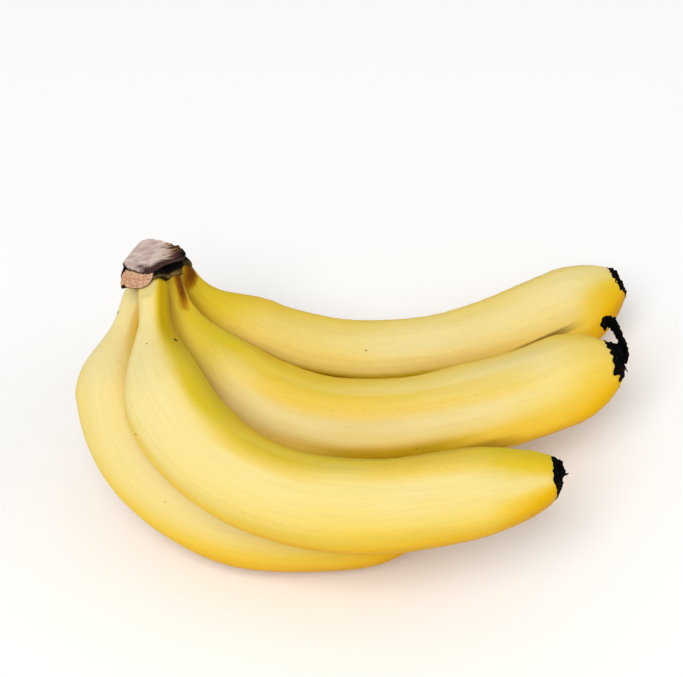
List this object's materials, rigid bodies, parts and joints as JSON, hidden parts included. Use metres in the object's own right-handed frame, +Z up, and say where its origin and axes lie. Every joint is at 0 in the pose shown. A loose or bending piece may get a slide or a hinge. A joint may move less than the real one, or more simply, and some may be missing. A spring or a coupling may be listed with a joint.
{
  "type": "bunch of bananas",
  "caption": "Cut bunch of ripe yellow bananas grown together at a dried crown, with black dried flowers at the tips, lying on its side.",
  "frame": {"origin": "middle of the bounding box's underside, on the surface the bunch lies on", "axes": "+Z up from that surface, +X along the bananas from the crown's side towards the tips, +Y towards the crown"},
  "size_m": [0.2208, 0.1486, 0.0852],
  "materials": {
    "banana_peel": "smooth waxy ripe peel, soft sheen",
    "dried_crown": "dry, corky, matt",
    "dried_flower": "black, brittle, matt"
  },
  "bodies": {
    "root": {"crown": "dried_crown", "banana_back": "banana_peel", "banana_middle": "banana_peel", "banana_front": "banana_peel", "banana_outer": "banana_peel", "blossom_tip_back": "dried_flower", "blossom_tip_middle": "dried_flower", "blossom_tip_front": "dried_flower", "blossom_tip_outer": "dried_flower"}
  },
  "joints": []
}
